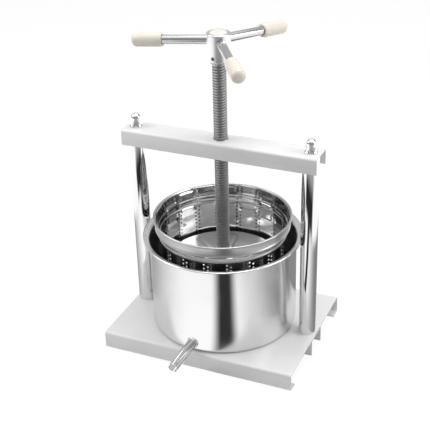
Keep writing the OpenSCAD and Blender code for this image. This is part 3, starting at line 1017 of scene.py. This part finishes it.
pot_high = size("outer_pot")[1]
rim_r = pot_high.x
bead_r = rim_r - BEAD_W
bead_z = pot_high.z - BEAD_H
lip_top = pot_high.z - BEAD_RISE
lip_z = lip_top - POT_SHEET
inner_r = POT_R - POT_SHEET
pot = lathe(
    [
        (0, 0, 0), (POT_R, 0, POT_EDGE_R), (POT_R, lip_z, POT_FLARE_R), (bead_r, lip_z, 0.1),
        (bead_r, bead_z, 1.0), (rim_r, bead_z, BEAD_ROUND), (rim_r, pot_high.z, BEAD_ROUND),
        (bead_r, pot_high.z, 0.9), (bead_r - BEAD_NECK, lip_top, 0.3),
        (inner_r, lip_top, POT_FLARE_R + POT_SHEET),
        (inner_r, POT_SHEET, POT_EDGE_R - POT_SHEET), (0, POT_SHEET, 0),
    ],
    256,
)

# %% [markdown]
# ## The spout
# A short tube drains the pot, and a fine ring of weld runs round its root. The ring is turned and
# then bent back to follow the pot's round wall. Both are kept out of the pot's reflections, where
# the real wall's brushing hardly shows them.

# %% Spout and weld
SPOUT_TURN = 267.5
SPOUT_FALL = 3.0
SPOUT_UP = 14.5
SPOUT_R = 7.5
SPOUT_WALL = 0.8
SPOUT_START = -2.5
SPOUT_LENGTH = 63.0
DRAIN_START = -12.0
DRAIN_END = 8.0
RING_R = 9.0
RING_START = -0.8
RING_STEP = 1.2
RING_END = 2.5
RING_TOE = 0.4

bore_r = SPOUT_R - SPOUT_WALL
along_spout = turned(SPOUT_TURN) @ moved_by(x=POT_R, z=SPOUT_UP) @ turned(90 + SPOUT_FALL, "Y")
pot = drilled(pot, placed(bar(bore_r, DRAIN_START, DRAIN_END), along_spout))
finished("drawn_pot", pot, "pot", pot_steel, ["outer_pot"])
spout = lathe(
    [
        (bore_r, SPOUT_START, 0), (SPOUT_R, SPOUT_START, 0), (SPOUT_R, SPOUT_LENGTH, EDGE),
        (bore_r, SPOUT_LENGTH, EDGE),
    ],
    96, closed=True,
)
ring = lathe(
    [
        (SPOUT_R, RING_START, 0), (RING_R, RING_START, 0), (RING_R, RING_STEP, 0.9),
        (SPOUT_R + RING_TOE, RING_END, 0.4), (SPOUT_R, RING_END, 0),
    ],
    96, closed=True,
)
for vert in ring.verts:
    fall_back = POT_R - math.sqrt(POT_R ** 2 - (vert.co.y / MM) ** 2)
    vert.co.z -= fall_back * MM
for name, made, node in (("spout_tube", spout, "pot_spout"), ("spout_weld", ring, "spout_collar")):
    piece = finished(name, placed(made, along_spout), "pot", spout_steel, [node])
    piece.visible_glossy = False

# %% [markdown]
# ## The basket
# The wall is one sheet with pairs of staggered hole columns. A Boolean would be slow for 648
# holes and leave ragged faces. But a hole with sixteen corners fits a square patch with sixteen
# points round it, so patches stack into columns without a gap. One pair of columns is made flat,
# wrapped round the axis and then copied all the way round.

# %% Flat patches of the wall
BASKET_R = 95.5
BASKET_SHEET = 0.8
PAIR_GAP = 5.9
PAIR_WIDTH = TAU * BASKET_R / HOLE_PAIRS
HOLE_R = 1.5
HOLE_PITCH = 6.25
HOLE_ROWS = 18
HOLE_DROP = 11.4
PATCH_SIDE = 4
PANEL_COLUMNS = 6
STRIP_ROWS = 12
FOOT_ROWS = 3
PATCH_MERGE = 0.01


def hole_patch(bm, x, z):
    """A square patch with a round hole, in the flat, with x across and z up in millimetres."""
    quarter = TAU / 4
    made = bmesh.ops.create_circle(
        bm, cap_ends=False, radius=HOLE_R * MM, segments=4 * PATCH_SIDE
    )["verts"]
    bmesh.ops.rotate(bm, cent=(0, 0, 0), matrix=Matrix.Rotation(quarter / 2, 3, "Z"), verts=made)
    hole = list({edge for vert in made for edge in vert.link_edges})
    grown = bmesh.ops.extrude_edge_only(bm, edges=hole)["geom"]
    outer = [part for part in grown if isinstance(part, bmesh.types.BMVert)]
    for vert in outer:
        angle = math.atan2(vert.co.y, vert.co.x)
        side = round(angle / quarter)
        share = (angle - side * quarter) / (quarter / 2)
        corner = Vector((1, share)) @ Matrix.Rotation(-side * quarter, 2)
        vert.co.x = corner.x * PAIR_GAP / 2 * MM
        vert.co.y = corner.y * HOLE_PITCH / 2 * MM
    bmesh.ops.translate(bm, vec=(x * MM, z * MM, 0), verts=made + outer)


def plain_strip(bm, left, right, low, high, across, up):
    """A grid of plain sheet between two edges, in the flat."""
    made = bmesh.ops.create_grid(bm, x_segments=across, y_segments=up, size=0.5)["verts"]
    matrix = Matrix.Diagonal(((right - left) * MM, (high - low) * MM, 1, 1))
    bmesh.ops.transform(bm, matrix=matrix, verts=made)
    bmesh.ops.translate(bm, vec=((left + right) / 2 * MM, (low + high) / 2 * MM, 0), verts=made)


def flat_pair(bottom, top):
    """One pair of hole columns and the panel beside it, in the flat. The second column starts
    half a pitch lower, so each of the two needs a spare half patch at one end."""
    bm = bmesh.new()
    first = top - HOLE_DROP
    above = first + HOLE_PITCH / 2
    foot = first - HOLE_ROWS * HOLE_PITCH
    for side in (0, 1):
        x = (side - 0.5) * PAIR_GAP
        start = first - side * HOLE_PITCH / 2
        for row in range(HOLE_ROWS):
            hole_patch(bm, x, start - row * HOLE_PITCH)
        spare = first if side else foot
        for low, high, rows in (
            (spare, spare + HOLE_PITCH / 2, PATCH_SIDE // 2),
            (above, top, STRIP_ROWS),
            (bottom, foot, FOOT_ROWS),
        ):
            plain_strip(bm, x - PAIR_GAP / 2, x + PAIR_GAP / 2, low, high, PATCH_SIDE, rows)
    panel_rows = round((above - foot) / HOLE_PITCH * PATCH_SIDE)
    for low, high, rows in (
        (foot, above, panel_rows), (above, top, STRIP_ROWS), (bottom, foot, FOOT_ROWS)
    ):
        plain_strip(bm, PAIR_GAP, PAIR_WIDTH - PAIR_GAP, low, high, PANEL_COLUMNS, rows)
    bmesh.ops.remove_doubles(bm, verts=bm.verts[:], dist=PATCH_MERGE * MM)
    return bm


# %% Perforated wall
WALL_BEAD_Z = 147.2
WALL_BEAD_HALF = 2.1
WALL_BEAD_RISE = 1.0

shell_low = size("basket_shell")[0]
rim_low, rim_high = size("basket_rim")


def perforated_wall():
    """Wraps the flat pair round the axis, with a fine bead above the holes, and copies it."""
    bm = flat_pair(shell_low.z, rim_low.z)
    for vert in bm.verts:
        turn = vert.co.x / (BASKET_R * MM) + math.radians(HOLE_TURN)
        height = vert.co.y
        near = max(1 - abs(height / MM - WALL_BEAD_Z) / WALL_BEAD_HALF, 0)
        r = (BASKET_R + WALL_BEAD_RISE * near * near * (3 - 2 * near)) * MM
        vert.co = (r * math.cos(turn), r * math.sin(turn), height)
    bmesh.ops.spin(
        bm, geom=bm.faces[:], cent=(0, 0, 0), axis=(0, 0, 1), angle=TAU, steps=HOLE_PAIRS,
        use_merge=False, use_duplicate=True,
    )
    bmesh.ops.remove_doubles(bm, verts=bm.verts[:], dist=PATCH_MERGE * MM)
    print("wall faces:", len(bm.faces), "open edges:", sum(edge.is_boundary for edge in bm.edges))
    bmesh.ops.recalc_face_normals(bm, faces=bm.faces[:])
    if max(bm.faces, key=lambda face: face.calc_center_median().x).normal.x < 0:
        bmesh.ops.reverse_faces(bm, faces=bm.faces[:])
    bmesh.ops.solidify(bm, geom=bm.faces[:], thickness=BASKET_SHEET * MM)
    return bm


finished("perforated_wall", perforated_wall(), "basket", basket_steel, ["basket_shell"], sharp=40)

# %% [markdown]
# ## The basket's collar
# The collar steps out from the wall over a rolled foot, rises as a plain brushed band and ends in
# a rolled edge. Rolls like these are spun, so a turned profile has the same shape, with the edge's
# arc worked out by its angle. Inside, a smooth cone leads down to the wall.

# %% Collar
EDGE_ROLL_R = 1.7
EDGE_ROLL_TURNS = range(-60, 171, 23)
BAND_R = 100.0
FOOT_BULGE = 0.9
FOOT_H = 2.0
FOOT_TOP = 3.2
STEP_RISE = 4.1
ROLL_TO_BAND = 3.6
ROLL_TO_INSIDE = 2.6
CONE_RISE = 9.0
CONE_LEAN = 1.5
CONE_BEND = 8.0

step_z = rim_low.z + STEP_RISE
band_inner = BAND_R - BASKET_SHEET
outside = [
    (BASKET_R, rim_low.z, 0), (BASKET_R, step_z, 0.5), (BAND_R + FOOT_BULGE, step_z, FOOT_BULGE),
    (BAND_R + FOOT_BULGE, step_z + FOOT_H, FOOT_BULGE), (BAND_R, step_z + FOOT_TOP, 0.6),
    (BAND_R, rim_high.z - ROLL_TO_BAND, 1.0),
]
edge_roll = [
    (
        rim_high.x - EDGE_ROLL_R + EDGE_ROLL_R * math.cos(math.radians(turn)),
        rim_high.z - EDGE_ROLL_R + EDGE_ROLL_R * math.sin(math.radians(turn)),
        0,
    )
    for turn in EDGE_ROLL_TURNS
]
inside = [
    (band_inner, rim_high.z - ROLL_TO_INSIDE, 0.5),
    (band_inner - CONE_LEAN, rim_low.z + CONE_RISE, CONE_BEND),
    (BASKET_R - BASKET_SHEET, rim_low.z, 0),
]
collar = lathe(outside + edge_roll + inside, 256, closed=True)
finished("stepped_collar", collar, "basket", basket_steel, ["basket_rim"])

# %% [markdown]
# ## Pieces that stay as they are
# The fasteners under the base, the swivel, the grub screw and the basket's floor and corner have
# their full shape in the engineering model already. They only get their finish.

# %% Finishes of the plain pieces
PLAIN_PIECES = (
    (zinc_steel, ("tie_rod_left", "tie_rod_right", "base_washers", "base_nuts")),
    (zinc_steel, ("swivel_washer", "swivel_screw")),
    (black_steel, ("hub_set_screw",)),
    (basket_steel, ("basket_floor", "basket_edge")),
)

for finish, nodes in PLAIN_PIECES:
    for node in nodes:
        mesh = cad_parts[node].data
        mesh.materials.clear()
        mesh.materials.append(finish.material)
    print(finish.slot, "on", nodes)

# %% [markdown]
# ## What the metal sees
# Polished metal only shows what is round it. Real flags and cards could stand round the press, but
# they would also change its light. So floor and world have a second brightness that only mirrored
# rays see. It depends on the compass angle from the camera's side. Each pair of numbers is where a
# soft step starts and ends: an angle in degrees, a distance from the axis in metres, or the rise
# of a direction, from 0 at the horizon to 1 overhead.

# %% The floor as the metal sees it
FLOOR_Z = size("base_plate")[0].z
CAMERA_SIDE = math.radians(CAMERA_TURN - 90)
FLOOR_LIGHT = 1.2
STRIP_LIGHT = 0.025
STRIP = (5, 18)
WIDE_STRIP = (36, 50)
WIDE_ASIDE = 6
LEFT_FADE = (-135, -35)
LEFT_LIGHT = 0.32
RIGHT_FADE = (0, 80)
RIGHT_LIGHT = 0.2
WIDENING = (0.43, 0.52)
FAR_FLOOR = (0.65, 0.85)
FAR_TURN = (25, 60)
FAR_FRONT_LIGHT = 0.42
FAR_BACK_LIGHT = 1.4


def turn_from_camera(graph, x, y):
    """The compass angle of a spot, measured from the camera's side, from minus pi to pi."""
    turn = x.math("ARCTAN2", y, x) - CAMERA_SIDE
    return turn - math.floor(turn / TAU + 0.5) * TAU


def floor_tone(graph, x, y):
    """A soft dark strip runs from the press towards the camera and widens farther out. Near the
    press the light falls off on both sides. The far floor is grey in front and bright behind."""
    turn = turn_from_camera(graph, x, y)
    away = (x * x + y * y).root()
    strip = graph.turn_step(abs(turn), *STRIP)
    wide = graph.turn_step(abs(turn + math.radians(WIDE_ASIDE)), *WIDE_STRIP)
    widened = graph.step(away, *WIDENING)
    dark = strip + (wide - strip) * widened
    left = graph.turn_step(turn, *LEFT_FADE, LEFT_LIGHT, 1.0)
    right = graph.turn_step(turn, *RIGHT_FADE, 1.0, RIGHT_LIGHT)
    sides = left * right
    near = dark * (sides + (1 - sides) * widened) * FLOOR_LIGHT + STRIP_LIGHT
    far = graph.turn_step(abs(turn), *FAR_TURN, FAR_FRONT_LIGHT, FAR_BACK_LIGHT)
    return near + (far - near) * graph.step(away, *FAR_FLOOR)


# %% The walls and ceiling as the metal sees them
WALL_TURN = (115, 150)
WALL_FRONT_LIGHT = 0.34
WALL_BACK_LIGHT = 0.6
CARD_START = (40, 75)
CARD_END = (110, 170)
CARD_TOP = (0.15, 0.3)
CARD_LIGHT = 0.45
CEILING = (0.6, 0.9)
CEILING_LIGHT = 1.4


def sky_tone(graph, x, y, up):
    """A grey ring of walls, brighter behind the press, with a low bright card on the right, under
    a bright ceiling."""
    turn = turn_from_camera(graph, x, y)
    wall = graph.turn_step(abs(turn), *WALL_TURN, WALL_FRONT_LIGHT, WALL_BACK_LIGHT)
    card = graph.turn_step(turn, *CARD_START, 0, CARD_LIGHT)
    card = card * graph.turn_step(turn, *CARD_END, 1, 0)
    wall = wall + card * graph.step(up, *CARD_TOP, 1, 0)
    return wall + (CEILING_LIGHT - wall) * graph.step(up, *CEILING)


def by_ray(graph, plain, seen, mirrored):
    """Mixes what lights the press, what the camera sees and what metal mirrors."""
    rays = [
        graph.node("LightPath", output=f"Is {kind} Ray")
        for kind in ("Camera", "Glossy", "Transmission")
    ]
    shader = graph.node("MixShader", None, {0: rays[0], 1: plain, 2: seen})
    return graph.node("MixShader", None, {0: rays[1] + rays[2], 1: shader, 2: mirrored})


# %% [markdown]
# ## Floor, world and lamps
# The press stands on a white sheet. Its white is mostly its own glow, which keeps it even, and a
# faint diffuse part under the glow keeps the shadow. Three soft lamps and a plain grey world light
# the press: the widest from above, and one from each side.

# %% Floor and world
FLOOR_HALF = 6000.0
FLOOR_DROP = 0.2
PAPER_TONE = 0.65
PAPER_SHADOW = 0.16
PAPER_GLOW = 0.89
WORLD_LIGHT = 0.45


def make_floor():
    bm = bmesh.new()
    bmesh.ops.create_grid(bm, x_segments=1, y_segments=1, size=FLOOR_HALF * MM)
    floor = as_object("floor", placed(bm, moved_by(z=FLOOR_Z - FLOOR_DROP)))
    paper = Finish("white studio paper", None)
    x, y, _ = paper.place()
    plain = paper.node("BsdfDiffuse", None, {"Color": colour(PAPER_TONE)})
    shadow = paper.node("BsdfDiffuse", None, {"Color": colour(PAPER_SHADOW)})
    glow = paper.node("Emission", None, {"Color": colour(1), "Strength": PAPER_GLOW})
    seen = paper.node("AddShader", None, {0: shadow, 1: glow})
    tone = floor_tone(paper, x, y)
    mirrored = paper.node("Emission", None, {"Color": colour(1), "Strength": tone})
    paper.node("OutputMaterial", None, {"Surface": by_ray(paper, plain, seen, mirrored)})
    floor.data.materials.append(paper.material)


def make_world():
    world = bpy.data.worlds.new("studio")
    bpy.context.scene.world = world
    world.use_nodes = True
    graph = Graph(world.node_tree)
    tone = sky_tone(graph, *graph.place("Generated"))
    plain, seen, mirrored = [
        graph.node("Background", None, {"Color": colour(1), "Strength": strength})
        for strength in (WORLD_LIGHT, 1.0, tone)
    ]
    graph.node("OutputWorld", None, {"Surface": by_ray(graph, plain, seen, mirrored)})


make_floor()
make_world()
print("floor at", round(FLOOR_Z, 3), "mm, world at", WORLD_LIGHT)

# %% Lamps
LAMPS = {
    "top lamp": {"spot": (0.15, 0.2, 1.8), "target": (0, 0, 0.2), "width": 1.2, "power": 13},
    "left lamp": {"spot": (-1.1, -0.3, 1.15), "target": (0, 0, 0.15), "width": 0.8, "power": 7},
    "right lamp": {"spot": (1.1, 0.2, 0.8), "target": (0, 0, 0.3), "width": 0.6, "power": 4.5},
}


def make_lamp(name, spot, target, width, power):
    """A square soft lamp, with its places in metres and its power in watts."""
    lamp = bpy.data.lights.new(name, "AREA")
    lamp.shape = "SQUARE"
    lamp.size = width
    lamp.energy = power
    holder = bpy.data.objects.new(name, lamp)
    bpy.context.scene.collection.objects.link(holder)
    holder.location = spot
    holder.rotation_euler = (Vector(spot) - Vector(target)).to_track_quat("Z", "Y").to_euler()
    print(f"{name}: {power} W")


for name, lamp in LAMPS.items():
    make_lamp(name, **lamp)
bpy.context.scene.view_settings.view_transform = "Standard"
